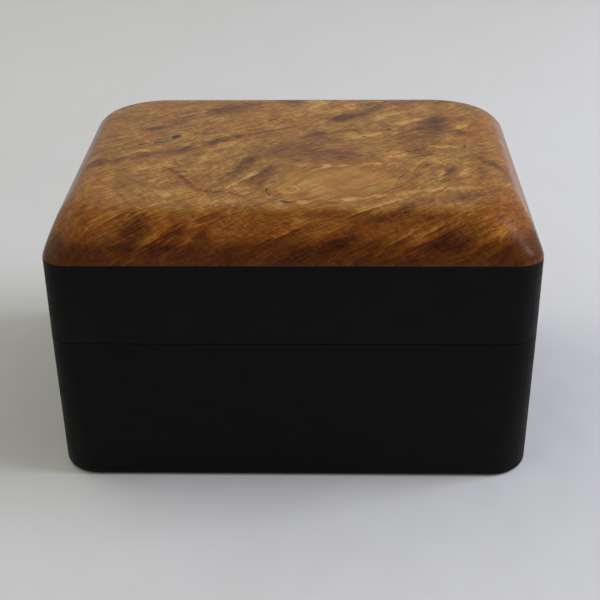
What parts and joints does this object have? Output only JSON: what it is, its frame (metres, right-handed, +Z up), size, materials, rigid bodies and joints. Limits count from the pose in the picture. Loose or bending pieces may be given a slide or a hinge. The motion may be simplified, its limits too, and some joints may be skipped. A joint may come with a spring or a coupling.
{
  "type": "keepsake box",
  "caption": "Small hinged wooden box: a thick figured burl lid slab with bevelled and rounded edges on matte black mitred walls, lined inside.",
  "frame": {"origin": "centre of the underside, on the surface that the box stands on", "axes": "+X along the width to the right as seen from the front, +Y from the front to the hinged back, +Z up"},
  "size_m": [0.152, 0.1124, 0.0926],
  "materials": {
    "black_wood": "black stain under a matte lacquer",
    "burl_wood": "golden-brown figured burl under a satin lacquer",
    "spline_wood": "hardwood stained black with the walls",
    "plywood": "bare sanded birch plywood",
    "suede": "soft napped suede cloth",
    "brass": "brushed, lightly lacquered"
  },
  "bodies": {
    "base": {"base_front_wall": "black_wood", "base_back_wall": "black_wood", "base_left_wall": "black_wood", "base_right_wall": "black_wood", "base_spline_front_left": "spline_wood", "base_spline_front_right": "spline_wood", "base_spline_back_left": "spline_wood", "base_spline_back_right": "spline_wood", "bottom_panel": "plywood", "base_pad": "suede", "base_lining_front": "suede", "base_lining_back": "suede", "base_lining_left": "suede", "base_lining_right": "suede", "hinge_left_base_leaf": "brass", "hinge_left_pin": "brass", "hinge_left_base_screw_1": "brass", "hinge_left_base_screw_2": "brass", "hinge_left_base_screw_3": "brass", "hinge_right_base_leaf": "brass", "hinge_right_pin": "brass", "hinge_right_base_screw_1": "brass", "hinge_right_base_screw_2": "brass", "hinge_right_base_screw_3": "brass"},
    "lid": {"lid_top": "burl_wood", "lid_front_rail": "black_wood", "lid_back_rail": "black_wood", "lid_left_rail": "black_wood", "lid_right_rail": "black_wood", "lid_spline_front_left": "spline_wood", "lid_spline_front_right": "spline_wood", "lid_spline_back_left": "spline_wood", "lid_spline_back_right": "spline_wood", "lid_pad": "suede", "lid_lining_front": "suede", "lid_lining_back": "suede", "lid_lining_left": "suede", "lid_lining_right": "suede", "hinge_left_lid_leaf": "brass", "hinge_left_lid_screw_1": "brass", "hinge_left_lid_screw_2": "brass", "hinge_left_lid_screw_3": "brass", "hinge_right_lid_leaf": "brass", "hinge_right_lid_screw_1": "brass", "hinge_right_lid_screw_2": "brass", "hinge_right_lid_screw_3": "brass"}
  },
  "joints": [
    {"name": "lid_hinge", "type": "hinge", "parent": "base", "child": "lid", "pos_m": [0, 0.05325, 0.0498], "axis": [-1, 0, 0], "range_deg": [0, 98]}
  ]
}
